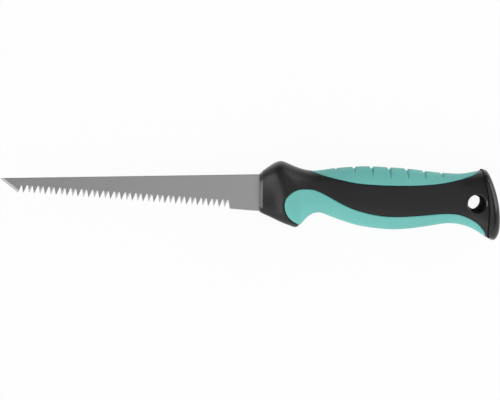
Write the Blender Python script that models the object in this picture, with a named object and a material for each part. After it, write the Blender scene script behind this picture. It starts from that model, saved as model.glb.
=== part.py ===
"""Keyhole saw: a tapered, toothed blade pinned in a hard core under a soft two-colour handle.

Design axes: X runs from the blade's point to the butt, with 0 at the bolster's front face. Y runs from
the teeth towards the spine. Z runs across the thickness, with 0 in the blade's middle plane. The saw
lies on its side, so one empty carries every piece and lifts them by the side lands it rests on.
"""

import math

import bmesh
import bpy
import numpy as np
from mathutils import Vector

MM = 0.001

# Blade, in front of the bolster
BLADE_REACH = 150.5 * MM
BLADE_THICKNESS = 1.5 * MM
POINT_Y = 12.6 * MM
SPINE_ROOT_Y = 14.85 * MM
TIP_RUN = 9.4 * MM
TIP_CORNER_Y = 4.8 * MM
TIP_BEVEL = 1.8 * MM

# Teeth: ground in turn on one side and on the other
TOOTH_COUNT = 38
TOOTH_PITCH = 25.4 / 8 * MM
TOOTH_DEPTH = 4.1 * MM
TOOTH_GRIND = 0.8 * MM
GULLET_AT = 0.72
GULLET_FLAT = 0.3 * MM
TOOTH_LINE_END_Y = -4.1 * MM
HEEL_STEP = 0.8 * MM
HEEL_ROOT_Y = -6.3 * MM

# Tang and its cross pins, inside the handle
TANG_REACH = 62.0 * MM
TANG_TOP_Y = 11.5 * MM
TANG_BOTTOM_Y = 0.5 * MM
TANG_CORNER = 3.0 * MM
PIN_DIAMETER = 4.0 * MM
FRONT_PIN_X = 17.0 * MM
REAR_PIN_FROM_END = 12.0 * MM
PIN_SETBACK = 0.5 * MM

# Handle: outlines are pairs of a share of the handle's length and a height or half width
HANDLE_LENGTH = 131.7 * MM
TOP_LINE = (
    (0.0, 15.8 * MM), (0.038, 19.7 * MM), (0.063, 21.6 * MM), (0.089, 22.4 * MM), (0.114, 21.4 * MM),
    (0.144, 19.7 * MM), (0.182, 17.95 * MM), (0.227, 17.0 * MM), (0.304, 18.15 * MM), (0.38, 19.1 * MM),
    (0.456, 19.6 * MM), (0.547, 19.1 * MM), (0.652, 18.05 * MM), (0.759, 16.25 * MM), (0.85, 15.4 * MM),
    (0.896, 15.3 * MM), (0.943, 15.95 * MM), (1.0, 17.2 * MM),
)
BOTTOM_LINE = (
    (0.0, -7.3 * MM), (0.038, -9.5 * MM), (0.091, -12.8 * MM), (0.13, -14.75 * MM), (0.15, -15.4 * MM),
    (0.164, -14.6 * MM), (0.197, -10.15 * MM), (0.217, -8.2 * MM), (0.25, -7.0 * MM), (0.289, -8.55 * MM),
    (0.349, -11.55 * MM), (0.425, -14.6 * MM), (0.501, -16.2 * MM), (0.569, -16.95 * MM), (0.668, -16.2 * MM),
    (0.759, -14.4 * MM), (0.824, -13.35 * MM), (0.881, -14.15 * MM), (0.918, -15.75 * MM),
    (0.946, -17.6 * MM), (1.0, -21.3 * MM),
)
HALF_WIDTH_LINE = (
    (0.0, 8.9 * MM), (0.045, 11.9 * MM), (0.083, 15.0 * MM), (0.1, 16.0 * MM), (0.126, 15.2 * MM),
    (0.152, 13.7 * MM), (0.182, 12.6 * MM), (0.243, 11.5 * MM), (0.38, 12.6 * MM), (0.532, 13.3 * MM),
    (0.683, 12.8 * MM), (0.835, 11.7 * MM), (0.918, 12.2 * MM), (1.0, 13.9 * MM),
)
SQUARENESS_LINE = (
    (0.0, 5.0), (0.091, 4.2), (0.152, 3.6), (0.243, 3.0), (0.456, 2.5), (0.759, 2.6), (1.0, 3.0),
)
SIDE_LAND = 15.0 * MM
FRONT_ROUND = 1.5 * MM
FRONT_ROUND_EDGE = 0.3 * MM
FRONT_ROUND_SIDE = 1.8 * MM
REAR_ROUND = 0.9 * MM

# Butt: the sleeve's rear edge and the core's end face are two arcs with one middle height
BUTT_MIDDLE_Y = -10.0 * MM
BUTT_SEAM_RADIUS = 90.0 * MM
BUTT_END_RADIUS = 55.0 * MM
BUTT_SIDE_RADIUS = 60.0 * MM
BUTT_BOW_FROM = 98.0 * MM
BUTT_GROOVE = 0.5 * MM
FLANGE_THICKNESS = 5.4 * MM
FLANGE_TOP_Y = 17.6 * MM
FLANGE_BOTTOM_Y = -23.5 * MM
FLANGE_HALF_WIDTH = 15.8 * MM
FLANGE_SQUARENESS = 3.0
FLANGE_FRONT_ROUND = 2.0 * MM
FLANGE_REAR_ROUND = 3.3 * MM
FLANGE_CROWN = (8.0 * MM, 12.0 * MM)

# Soft layers over the core
SOFT_WALL = 3.0 * MM
CORE_FRONT = 5.0 * MM
FIT = 0.3 * MM
HANG_HOLE_DIAMETER = 10.2 * MM
HANG_HOLE_SETBACK = 8.6 * MM
HANG_HOLE_Y = -0.9 * MM
HANG_HOLE_CHAMFER = 0.5 * MM

# Seams between the black sleeve and the coloured grips, from the front to the rear
UPPER_SEAM = (
    (0.182, 18.9 * MM), (0.246, 15.6 * MM), (0.299, 13.5 * MM), (0.35, 12.0 * MM), (0.419, 10.25 * MM),
    (0.488, 9.45 * MM), (0.575, 8.95 * MM), (0.688, 9.05 * MM), (0.767, 9.95 * MM), (0.821, 11.1 * MM),
    (0.874, 12.8 * MM), (0.93, 15.4 * MM), (0.974, 18.5 * MM),
)
LOWER_SEAM = (
    (0.19, -17.0 * MM), (0.161, -13.5 * MM), (0.124, -10.35 * MM), (0.106, -6.9 * MM), (0.099, -2.2 * MM),
    (0.106, 2.4 * MM), (0.124, 4.75 * MM), (0.149, 6.6 * MM), (0.19, 7.4 * MM), (0.228, 6.8 * MM),
    (0.263, 5.0 * MM), (0.298, 2.5 * MM), (0.35, -1.3 * MM), (0.402, -4.4 * MM), (0.455, -6.55 * MM),
    (0.515, -8.2 * MM), (0.593, -8.8 * MM), (0.663, -8.45 * MM), (0.734, -7.75 * MM), (0.804, -7.15 * MM),
    (0.838, -7.25 * MM), (0.874, -8.1 * MM), (0.909, -10.05 * MM), (0.944, -13.05 * MM),
    (0.962, -15.9 * MM), (0.975, -19.5 * MM), (0.979, -23.5 * MM),
)
SEAM_STEP = 2.4 * MM

# Flutes across the top of the upper grip
FLUTE_COUNT = 7
FLUTE_PITCH = 10.15 * MM
FLUTE_MIDDLE = 0.568
FLUTE_WIDTH = 2.6 * MM
FLUTE_DEPTH = 1.3 * MM
FLUTE_END_SHARE = 0.55
FLUTE_REACH = math.radians(60.0)

# Fineness of the faceted surfaces
RING_POINTS = 32
FRONT_STEP = 2.4 * MM
REAR_STEP = 4.5 * MM
FINE_UNTIL = 0.28
HOLE_SEGMENTS = 32
PIN_SEGMENTS = 24

# Cutters reach past what they cut by this much
OVERSHOOT = 10.0 * MM


def spline(points):
    """A smooth function through the points: the natural cubic spline."""
    x, y = np.array(points).T
    step = np.diff(x)
    count = len(x)
    matrix = np.eye(count)
    right = np.zeros(count)
    for i in range(1, count - 1):
        matrix[i, i - 1:i + 2] = step[i - 1], 2 * (step[i - 1] + step[i]), step[i]
        right[i] = 6 * ((y[i + 1] - y[i]) / step[i] - (y[i] - y[i - 1]) / step[i - 1])
    bend = np.linalg.solve(matrix, right)

    def value(at):
        i = int(np.clip(np.searchsorted(x, at) - 1, 0, count - 2))
        before, after = at - x[i], x[i + 1] - at
        cubic = (bend[i] * after ** 3 + bend[i + 1] * before ** 3) / (6 * step[i])
        near = (y[i] / step[i] - bend[i] * step[i] / 6) * after
        far = (y[i + 1] / step[i] - bend[i + 1] * step[i] / 6) * before
        return float(cubic + near + far)

    return value


def handle_line(points):
    """A line of the handle as a function of X."""
    return spline([(share * HANDLE_LENGTH, value) for share, value in points])


top_y = handle_line(TOP_LINE)
bottom_y = handle_line(BOTTOM_LINE)
half_width = handle_line(HALF_WIDTH_LINE)
squareness = handle_line(SQUARENESS_LINE)


def seam_path(points, shift):
    """The seam as (x, y) points, moved sideways by shift to the left of its direction."""
    corners = [Vector((share * HANDLE_LENGTH, y)) for share, y in points]
    along = [0.0]
    for before, after in zip(corners, corners[1:]):
        along.append(along[-1] + (after - before).length)
    path_x = spline([(s, c.x) for s, c in zip(along, corners)])
    path_y = spline([(s, c.y) for s, c in zip(along, corners)])
    count = math.ceil(along[-1] / SEAM_STEP)
    nudge = along[-1] / count / 100
    path = []
    for i in range(count + 1):
        s = along[-1] * i / count
        run = Vector((path_x(s + nudge) - path_x(s - nudge), path_y(s + nudge) - path_y(s - nudge)))
        side = Vector((-run.y, run.x)).normalized()
        path.append(Vector((path_x(s), path_y(s))) + side * shift)
    return path


def dome(y, z, radius):
    """How far a butt surface falls away from its crown, by arcs along Y and across Z."""
    return (y - BUTT_MIDDLE_Y) ** 2 / (2 * radius) + z ** 2 / (2 * BUTT_SIDE_RADIUS)


def bow(x, y, z):
    """How far the rings near the butt lean forward, so that the last one follows the domed seam."""
    share = min(max((x - BUTT_BOW_FROM) / (HANDLE_LENGTH - BUTT_BOW_FROM), 0.0), 1.0)
    ease = share * share * (3 - 2 * share)
    return ease * dome(y, z, BUTT_SEAM_RADIUS)


def oval(top, bottom, width, power, flat):
    """Points (y, z) round a squared oval, whose sides are cut flat at the given half width."""
    height, middle = (top - bottom) / 2, (top + bottom) / 2
    points = []
    for k in range(RING_POINTS):
        turn = 2 * math.pi * k / RING_POINTS
        up, out = math.cos(turn), math.sin(turn)
        reach = (abs(up / height) ** power + abs(out / width) ** power) ** (-1 / power)
        points.append((middle + reach * up, min(max(reach * out, -flat), flat)))
    return points


def ring(x, inset=0.0, side_inset=None):
    """The handle's cross-section at x, drawn in by inset at its top and bottom and at its sides."""
    side = inset if side_inset is None else side_inset
    outline = oval(top_y(x) - inset, bottom_y(x) + inset, half_width(x) - side, squareness(x), SIDE_LAND - side)
    return [Vector((x - bow(x, y, z), y, z)) for y, z in outline]


def fluted_ring(x, depth):
    """The cross-section at x, sunk towards its middle by depth at the top, less down the sides."""
    points = ring(x)
    middle = (top_y(x) + bottom_y(x)) / 2
    for k, point in enumerate(points):
        turn = 2 * math.pi * min(k, RING_POINTS - k) / RING_POINTS
        sink = depth * max(0.0, 1 - (turn / FLUTE_REACH) ** 2)
        inward = Vector((0.0, middle - point.y, -point.z)).normalized()
        point += inward * sink
    return points


def stations(start, end):
    """X positions of rings from start to end, closer together round the bolster."""
    fine_end = min(max(FINE_UNTIL * HANDLE_LENGTH, start), end)
    positions = []
    for low, high, step in ((start, fine_end, FRONT_STEP), (fine_end, end, REAR_STEP)):
        count = math.ceil((high - low) / step - 1e-6)
        positions += [low + (high - low) * i / count for i in range(count)]
    return positions + [end]


def skin_rings():
    """Rings of the handle's outer surface, with its rounded front and rear edges."""
    rings = []
    for turn in (0.0, math.pi / 4):
        share = 1 - math.sin(turn)
        x = FRONT_ROUND * (1 - math.cos(turn))
        rings.append(ring(x, FRONT_ROUND_EDGE * share, FRONT_ROUND_SIDE * share))
    rings += [ring(x) for x in stations(FRONT_ROUND, HANDLE_LENGTH - REAR_ROUND)]
    for turn in (math.pi / 4, math.pi / 2):
        x = HANDLE_LENGTH - REAR_ROUND * (1 - math.sin(turn))
        rings.append(ring(x, REAR_ROUND * (1 - math.cos(turn))))
    return rings


def core_rings(grow, rear):
    """Rings of the core's stem, grown by the given amount, from its front to the given X."""
    return [ring(x, SOFT_WALL - grow) for x in stations(CORE_FRONT - grow, rear)]


def flange_ring(share, inset):
    """A ring of the butt flange, at a share of the way from its front face to the end face."""
    outline = oval(FLANGE_TOP_Y - inset, FLANGE_BOTTOM_Y + inset, FLANGE_HALF_WIDTH - inset,
                   FLANGE_SQUARENESS, SIDE_LAND)
    points = []
    for y, z in outline:
        front = HANDLE_LENGTH + BUTT_GROOVE - dome(y, z, BUTT_SEAM_RADIUS)
        end = HANDLE_LENGTH + FLANGE_THICKNESS - dome(y, z, BUTT_END_RADIUS)
        points.append(Vector((front + share * (end - front), y, z)))
    return points


def flange_rings():
    """Rings of the butt flange: a small round in front, a full round behind and a domed end."""
    rings = []
    for turn in (0.0, math.pi / 4, math.pi / 2):
        share = FLANGE_FRONT_ROUND / FLANGE_THICKNESS * (1 - math.cos(turn))
        rings.append(flange_ring(share, FLANGE_FRONT_ROUND * (1 - math.sin(turn))))
    for turn in (0.0, math.pi / 8, math.pi / 4, 3 * math.pi / 8, math.pi / 2):
        share = 1 - FLANGE_REAR_ROUND / FLANGE_THICKNESS * (1 - math.sin(turn))
        rings.append(flange_ring(share, FLANGE_REAR_ROUND * (1 - math.cos(turn))))
    return rings + [flange_ring(1.0, inset) for inset in FLANGE_CROWN]


def mesh_object(name, bm):
    """A new object from bm, with its faces turned outwards."""
    bmesh.ops.recalc_face_normals(bm, faces=bm.faces)
    mesh = bpy.data.meshes.new(name)
    bm.to_mesh(mesh)
    bm.free()
    obj = bpy.data.objects.new(name, mesh)
    bpy.context.scene.collection.objects.link(obj)
    obj.parent = carrier
    return obj


def loft(name, rings):
    """A closed body through the rings. Each end is closed by strips from side to side."""
    bm = bmesh.new()
    loops = [[bm.verts.new(point) for point in points] for points in rings]
    count = RING_POINTS
    for before, after in zip(loops, loops[1:]):
        for k in range(count):
            bm.faces.new((before[k], before[k - 1], after[k - 1], after[k]))
    for loop in (loops[0], loops[-1]):
        bm.faces.new((loop[0], loop[1], loop[-1]))
        for k in range(1, count // 2 - 1):
            bm.faces.new((loop[k], loop[k + 1], loop[-k - 1], loop[-k]))
        bottom = count // 2
        bm.faces.new((loop[bottom - 1], loop[bottom], loop[bottom + 1]))
    return mesh_object(name, bm)


def stack(name, layers):
    """A closed body through outlines of equal length, each given as (points, z)."""
    bm = bmesh.new()
    loops = [[bm.verts.new((x, y, z)) for x, y in points] for points, z in layers]
    for below, above in zip(loops, loops[1:]):
        for k in range(len(below)):
            bm.faces.new((below[k - 1], below[k], above[k], above[k - 1]))
    bm.faces.new(loops[0])
    bm.faces.new(loops[-1])
    return mesh_object(name, bm)


def prism(name, points, reach):
    """An outline run along Z to both sides of the middle plane."""
    return stack(name, [(points, -reach), (points, reach)])


def turned(name, centre, profile, segments):
    """A body turned round an axis along Z at the centre, from (radius, z) pairs, bottom to top."""
    layers = []
    for radius, z in profile:
        turns = [2 * math.pi * k / segments for k in range(segments)]
        points = [(centre.x + radius * math.cos(a), centre.y + radius * math.sin(a)) for a in turns]
        layers.append((points, z))
    return stack(name, layers)


def as_cutter(obj):
    obj.hide_render = True
    obj.display_type = 'WIRE'
    return obj


def trim(obj, cutter, operation='DIFFERENCE'):
    boolean = obj.modifiers.new(cutter.name, 'BOOLEAN')
    boolean.object = cutter
    boolean.operation = operation
    boolean.solver = 'EXACT'


def finish(obj, material, smooth_angle=35.0):
    obj.data.materials.append(material)
    obj.data.shade_smooth()
    obj.data.set_sharp_from_angle(angle=math.radians(smooth_angle))


def plain_material(name, colour, roughness, metallic=0.0):
    material = bpy.data.materials.new(name)
    material.use_nodes = True
    shader = material.node_tree.nodes['Principled BSDF']
    shader.inputs['Base Color'].default_value = (*colour, 1.0)
    shader.inputs['Roughness'].default_value = roughness
    shader.inputs['Metallic'].default_value = metallic
    return material


def tooth_line_y(x):
    """Height of the line through the tooth tips."""
    start_x = TIP_RUN - BLADE_REACH
    slope = (TOOTH_LINE_END_Y - TIP_CORNER_Y) / ((TOOTH_COUNT + 1) * TOOTH_PITCH)
    return TIP_CORNER_Y + slope * (x - start_x)


def tooth_points(number, grind):
    """One tooth as root, tip and root. Its flanks are drawn in by grind, and its tip follows them."""
    tip_x = TIP_RUN - BLADE_REACH + number * TOOTH_PITCH
    steep = (1 - GULLET_AT) * TOOTH_PITCH - GULLET_FLAT / 2
    slant = GULLET_AT * TOOTH_PITCH - GULLET_FLAT / 2
    left = tip_x - steep
    right = tip_x + slant
    kept = 1 - 2 * grind / (right - left)
    root_y = tooth_line_y(tip_x) + TOOTH_DEPTH
    tip = (left + grind + steep * kept, root_y - TOOTH_DEPTH * kept)
    return [(left + grind, root_y), tip, (right - grind, root_y)]


def blade_outline(ground, tip_bevel):
    """The blade's outline with its tang. ground(number) says how far a tooth's flanks are drawn in."""
    start_x = TIP_RUN - BLADE_REACH
    edge = Vector((TIP_RUN, TIP_CORNER_Y - POINT_Y)).normalized()
    first_root = tooth_points(1, ground(1))[0]
    first_gullet = Vector((first_root[0] - GULLET_FLAT, tooth_line_y(start_x) + TOOTH_DEPTH))
    flank = (first_gullet - Vector((start_x, TIP_CORNER_Y))).normalized()
    corner = Vector((start_x, TIP_CORNER_Y)) + flank * (tip_bevel / abs(edge.cross(flank)))
    spine = Vector((BLADE_REACH, SPINE_ROOT_Y - POINT_Y)).normalized()
    point = Vector((-BLADE_REACH, POINT_Y)) + spine * (tip_bevel / abs(edge.cross(spine)))
    outline = [tuple(point), tuple(corner), tuple(first_gullet)]
    for number in range(1, TOOTH_COUNT + 1):
        outline += tooth_points(number, ground(number))
    heel_x = start_x + (TOOTH_COUNT + 1) * TOOTH_PITCH
    heel_root_x = heel_x - (1 - GULLET_AT) * TOOTH_PITCH + GULLET_FLAT / 2
    shoulder_x = CORE_FRONT - FIT
    outline += [
        (heel_root_x, tooth_line_y(heel_x) + TOOTH_DEPTH),
        (heel_x, tooth_line_y(heel_x) - HEEL_STEP),
        (0.0, HEEL_ROOT_Y),
        (shoulder_x, HEEL_ROOT_Y),
        (shoulder_x, TANG_BOTTOM_Y),
        (TANG_REACH - TANG_CORNER, TANG_BOTTOM_Y),
        (TANG_REACH, TANG_BOTTOM_Y + TANG_CORNER),
        (TANG_REACH, TANG_TOP_Y - TANG_CORNER),
        (TANG_REACH - TANG_CORNER, TANG_TOP_Y),
        (shoulder_x, TANG_TOP_Y),
        (shoulder_x, SPINE_ROOT_Y),
        (0.0, SPINE_ROOT_Y),
    ]
    return outline


def front_grind(number):
    return TOOTH_GRIND if number % 2 == 0 else 0.0


def back_grind(number):
    return TOOTH_GRIND - front_grind(number)


def middle_grind(number):
    return TOOTH_GRIND / 2


def make_blade():
    half = BLADE_THICKNESS / 2
    return stack('blade', [
        (blade_outline(back_grind, TIP_BEVEL), -half),
        (blade_outline(middle_grind, 0.0), 0.0),
        (blade_outline(front_grind, TIP_BEVEL), half),
    ])


def make_upper_blank():
    """The handle's surface round the upper grip, with the flutes sunk across its top."""
    middle_x = FLUTE_MIDDLE * HANDLE_LENGTH
    centres = [middle_x + (i - (FLUTE_COUNT - 1) / 2) * FLUTE_PITCH for i in range(FLUTE_COUNT)]
    front = (UPPER_SEAM[0][0] + UPPER_SEAM[1][0]) / 2 * HANDLE_LENGTH - OVERSHOOT / 2
    rings = [ring(x) for x in stations(front, centres[0] - FLUTE_WIDTH)]
    for i, centre in enumerate(centres):
        off = abs(i - (FLUTE_COUNT - 1) / 2) / ((FLUTE_COUNT - 1) / 2)
        depth = FLUTE_DEPTH * (1 - (1 - FLUTE_END_SHARE) * off ** 2)
        rings.append(ring(centre - FLUTE_WIDTH / 2))
        rings.append(fluted_ring(centre, depth))
        rings.append(ring(centre + FLUTE_WIDTH / 2))
        if i < FLUTE_COUNT - 1:
            rings.append(ring(centre + FLUTE_PITCH / 2))
    rings += [ring(x) for x in stations(centres[-1] + FLUTE_WIDTH, HANDLE_LENGTH)]
    return loft('upper_grip', rings)


def seam_cutter(name, seam, shift, far_y):
    """A cutter bounded by the seam, moved by shift, and closed at far_y."""
    path = seam_path(seam, shift)
    points = [tuple(p) for p in path] + [(path[-1].x, far_y), (path[0].x, far_y)]
    return as_cutter(prism(name, points, SIDE_LAND + OVERSHOOT))


def core_half_width(x, y):
    """Half the core's thickness at a point of its side view."""
    top, bottom = top_y(x) - SOFT_WALL, bottom_y(x) + SOFT_WALL
    share = abs(y - (top + bottom) / 2) / ((top - bottom) / 2)
    width = half_width(x) - SOFT_WALL
    return min(width * (1 - share ** squareness(x)) ** (1 / squareness(x)), SIDE_LAND - SOFT_WALL)


def slot_outline(front, rear, top, bottom):
    return [(front, bottom), (rear, bottom), (rear, top), (front, top)]


def hang_hole_cutter(centre):
    """A cutter for the hang hole, flared at both faces of the handle."""
    radius = HANG_HOLE_DIAMETER / 2
    face = half_width(centre.x)
    flare = radius + HANG_HOLE_CHAMFER
    wide = flare + OVERSHOOT
    profile = [
        (wide, -face - OVERSHOOT), (flare, -face), (radius, -face + HANG_HOLE_CHAMFER),
        (radius, face - HANG_HOLE_CHAMFER), (flare, face), (wide, face + OVERSHOOT),
    ]
    return as_cutter(turned('hang_hole_cutter', centre, profile, HOLE_SEGMENTS))


for old in list(bpy.data.objects):
    bpy.data.objects.remove(old, do_unlink=True)

carrier = bpy.data.objects.new('saw', None)
bpy.context.scene.collection.objects.link(carrier)

steel = plain_material('ground steel', (0.27, 0.27, 0.28), 0.35, 1.0)
pin_steel = plain_material('pin steel', (0.4, 0.4, 0.4), 0.3, 1.0)
core_plastic = plain_material('black hard plastic', (0.018, 0.018, 0.02), 0.35)
sleeve_rubber = plain_material('black soft rubber', (0.025, 0.025, 0.027), 0.55)
grip_rubber = plain_material('sea green soft rubber', (0.17, 0.54, 0.5), 0.6)

blade = make_blade()
core = loft('handle_core', core_rings(0.0, HANDLE_LENGTH + BUTT_GROOVE) + flange_rings())
sleeve = loft('handle_sleeve', skin_rings())
upper_grip = make_upper_blank()
lower_grip = loft('lower_grip', skin_rings())

core_cutter = as_cutter(loft('core_cutter', core_rings(FIT, HANDLE_LENGTH + OVERSHOOT)))
grip_top, grip_bottom = FLANGE_TOP_Y + OVERSHOOT, FLANGE_BOTTOM_Y - OVERSHOOT
trim(upper_grip, seam_cutter('upper_region', UPPER_SEAM, FIT / 2, grip_top), 'INTERSECT')
trim(lower_grip, seam_cutter('lower_region', LOWER_SEAM, -FIT / 2, grip_bottom), 'INTERSECT')
trim(sleeve, seam_cutter('upper_window', UPPER_SEAM, -FIT / 2, grip_top))
trim(sleeve, seam_cutter('lower_window', LOWER_SEAM, FIT / 2, grip_bottom))
for soft in (upper_grip, lower_grip, sleeve):
    trim(soft, core_cutter)

slot_half = BLADE_THICKNESS / 2 + FIT
root_slot = slot_outline(-OVERSHOOT, CORE_FRONT + FIT, SPINE_ROOT_Y + FIT, HEEL_ROOT_Y - FIT)
tang_slot = slot_outline(CORE_FRONT - OVERSHOOT, TANG_REACH + FIT, TANG_TOP_Y + FIT, TANG_BOTTOM_Y - FIT)
trim(sleeve, as_cutter(prism('root_slot', root_slot, slot_half)))
trim(core, as_cutter(prism('tang_slot', tang_slot, slot_half)))

hole_centre = Vector((HANDLE_LENGTH - HANG_HOLE_SETBACK, HANG_HOLE_Y))
hole_cutter = hang_hole_cutter(hole_centre)
trim(sleeve, hole_cutter)
trim(core, hole_cutter)

pin_y = (TANG_TOP_Y + TANG_BOTTOM_Y) / 2
pins = []
for name, pin_x in (('front_tang_pin', FRONT_PIN_X), ('rear_tang_pin', TANG_REACH - REAR_PIN_FROM_END)):
    place = Vector((pin_x, pin_y))
    radius = PIN_DIAMETER / 2
    sides = [(pin_x + dx, pin_y + dy) for dx in (-radius, radius) for dy in (-radius, radius)]
    reach = min(core_half_width(x, y) for x, y in sides) - PIN_SETBACK
    pins.append(turned(name, place, [(radius, -reach), (radius, reach)], PIN_SEGMENTS))
    far = SIDE_LAND + OVERSHOOT
    bore = turned(name + '_bore', place, [(radius + FIT, -far), (radius + FIT, far)], PIN_SEGMENTS)
    trim(core, as_cutter(bore))
    trim(blade, bore)

finish(blade, steel, 20.0)
finish(core, core_plastic)
finish(sleeve, sleeve_rubber)
finish(upper_grip, grip_rubber)
finish(lower_grip, grip_rubber)
for pin in pins:
    finish(pin, pin_steel)

# The saw rests on its side lands, with its middle over the origin
corners = [vertex.co for obj in (blade, core, sleeve) for vertex in obj.data.vertices]
low_x, high_x = min(c.x for c in corners), max(c.x for c in corners)
low_y, high_y = min(c.y for c in corners), max(c.y for c in corners)
carrier.location = (-(low_x + high_x) / 2, -(low_y + high_y) / 2, SIDE_LAND)
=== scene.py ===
"""Looks of a keyhole saw: satin ground blade, black soft skin, sea-green grips and glossy black butt.

Sizes are in millimetres on the saw's own axes until a point is placed: X runs from the blade's point to
the butt, with 0 where the CAD's bolster starts, Y from the teeth to the spine, and Z across the
thickness, with 0 in the blade's middle plane.
"""

import math

import bpy
import numpy as np
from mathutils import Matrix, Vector, kdtree


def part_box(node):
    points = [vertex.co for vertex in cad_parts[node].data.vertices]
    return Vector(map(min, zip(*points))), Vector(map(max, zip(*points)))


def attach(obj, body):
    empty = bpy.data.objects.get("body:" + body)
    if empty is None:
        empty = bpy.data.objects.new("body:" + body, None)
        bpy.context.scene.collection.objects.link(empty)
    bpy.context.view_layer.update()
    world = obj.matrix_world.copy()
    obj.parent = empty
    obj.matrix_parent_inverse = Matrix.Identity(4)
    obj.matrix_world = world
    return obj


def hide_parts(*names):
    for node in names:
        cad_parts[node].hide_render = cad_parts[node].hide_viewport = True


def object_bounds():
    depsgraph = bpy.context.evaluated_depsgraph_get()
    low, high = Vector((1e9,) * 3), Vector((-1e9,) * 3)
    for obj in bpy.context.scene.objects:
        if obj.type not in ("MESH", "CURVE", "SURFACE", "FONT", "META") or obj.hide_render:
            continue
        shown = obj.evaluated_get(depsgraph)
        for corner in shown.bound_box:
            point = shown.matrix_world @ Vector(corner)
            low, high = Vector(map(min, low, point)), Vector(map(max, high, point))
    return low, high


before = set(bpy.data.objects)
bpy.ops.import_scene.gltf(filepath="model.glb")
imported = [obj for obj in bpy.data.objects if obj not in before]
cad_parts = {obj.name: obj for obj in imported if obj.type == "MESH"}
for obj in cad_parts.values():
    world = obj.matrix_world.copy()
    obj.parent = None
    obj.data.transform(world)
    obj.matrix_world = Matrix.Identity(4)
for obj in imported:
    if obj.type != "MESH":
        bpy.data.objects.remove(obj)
cad_low, cad_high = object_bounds()

MM = 0.001

# Blade
BLADE_REACH = 151.6
BLADE_THICKNESS = 1.5
POINT_Y = 12.75
SPINE_Y = 15.0
CAD_SPINE_Y = 14.85
SPINE_ROUND = 0.35
TIP_RUN = 10.55
TIP_CORNER_Y = 4.35
TIP_BEVEL = 1.5
HEEL_STEP = 0.5
HEEL_Y = -6.5

# Teeth: the lean is the share of a pitch that lies behind a tip, and the grind is how far a ground flank
# slants from one face of the blade to the other
TOOTH_COUNT = 38
TOOTH_PITCH = 3.148
TOOTH_DEPTH = 4.6
TOOTH_GRIND = 0.8
TOOTH_LEAN = 0.72
GULLET_FLAT = 0.12
TOOTH_LINE_END_Y = -4.6
HEEL_X = TIP_RUN - BLADE_REACH + (TOOTH_COUNT + 1) * TOOTH_PITCH

# Tang
TANG_REACH = 62.0
TANG_TOP_Y = 11.5
TANG_BOTTOM_Y = 0.5
TANG_CORNER = 3.0
PIN_PLACES = (17.0, 50.0)
PIN_Y = (TANG_TOP_Y + TANG_BOTTOM_Y) / 2
PIN_BORE = 4.6

# Handle lines: pairs of a share of the handle's length and a height or half width
HANDLE_LENGTH = 131.7
TOP_LINE = (
    (0.0, 16.2), (0.038, 19.7), (0.063, 21.6), (0.089, 22.4), (0.114, 21.4), (0.144, 19.7),
    (0.182, 17.95), (0.227, 17.0), (0.304, 18.15), (0.38, 19.1), (0.456, 19.6), (0.547, 19.1),
    (0.652, 18.05), (0.759, 16.25), (0.85, 15.4), (0.896, 15.3), (0.943, 15.95), (1.0, 17.2),
)
BOTTOM_LINE = (
    (0.0, -7.3), (0.038, -9.5), (0.091, -12.8), (0.13, -14.75), (0.15, -15.4), (0.164, -14.6),
    (0.197, -10.15), (0.217, -8.2), (0.25, -7.0), (0.289, -8.55), (0.349, -11.55), (0.425, -14.6),
    (0.501, -16.2), (0.569, -16.95), (0.668, -16.2), (0.759, -14.4), (0.824, -13.35), (0.881, -14.15),
    (0.918, -15.6), (0.946, -17.35), (1.0, -21.5),
)
HALF_WIDTH_LINE = (
    (0.0, 8.45), (0.04, 11.7), (0.065, 13.6), (0.083, 14.6), (0.1, 14.95), (0.115, 14.9),
    (0.13, 14.6), (0.15, 13.95), (0.172, 13.2), (0.2, 12.4), (0.243, 11.75), (0.3, 11.95),
    (0.38, 12.6), (0.532, 13.3), (0.683, 12.8), (0.835, 11.7), (0.918, 12.2), (1.0, 13.9),
)
SQUARENESS_LINE = (
    (0.0, 5.0), (0.091, 4.2), (0.152, 3.6), (0.243, 3.0), (0.456, 2.5), (0.759, 2.6), (1.0, 3.0),
)

# Front and rear edges of the soft layers: the front edge is rounded along FRONT_RUN, by one inset at its
# top and bottom and another at its sides
FRONT_X = -1.0
FRONT_RUN = 1.7
FRONT_INSET_EDGE = 0.1
FRONT_INSET_SIDE = 0.42
FRONT_FACE_INSETS = (6.0, 3.0, 1.2)
REAR_ROUND = 0.2
REAR_FACE_INSET = 1.6
REAR_FACE_DEPTH = 1.0

# Ridge of the bolster, which leans back towards its foot: pairs of a place along the handle and a share
# of the lean
RIDGE_LEVEL = 13.0
RIDGE_SHIFT = 4.8
RIDGE_BEND = 14.0
RIDGE_SHARE = (
    (0.0, 0.0), (3.0, 0.33), (6.0, 0.68), (8.0, 0.88), (10.0, 0.98), (14.0, 1.0), (20.0, 1.4),
    (30.0, 1.0), (45.0, 0.0), (140.0, 0.0),
)

# Butt: the groove and the end face are shallow domes, each about its own height
BUTT_MIDDLE_Y = -7.0
BUTT_SEAM_RADIUS = 72.0
BUTT_SEAM_SIDE_RADIUS = 58.0
BUTT_END_RADIUS = 60.0
BUTT_END_SIDE_RADIUS = 100.0
BUTT_BOW_FROM = 98.0
BUTT_GROOVE = 0.06
FLANGE_THICKNESS = 5.8
FLANGE_MIDDLE_Y = -12.0
FLANGE_TOP_Y = 18.0
FLANGE_BOTTOM_Y = -23.1
FLANGE_HALF_WIDTH = 15.0
FLANGE_SQUARENESS = 3.0
FLANGE_FRONT_ROUND = 1.6
FLANGE_FRONT_RUN = 0.12
FLANGE_TOP_ROUND = 1.0
FLANGE_FOOT_ROUND = 5.2
FLANGE_REAR_ROUND = 4.0
FLANGE_REAR_TOP_ROUND = 1.6
FLANGE_REAR_RUN = 0.62
FLANGE_FOOT_RUN = 0.64
FLANGE_FOOT_Y = -18.0
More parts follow.
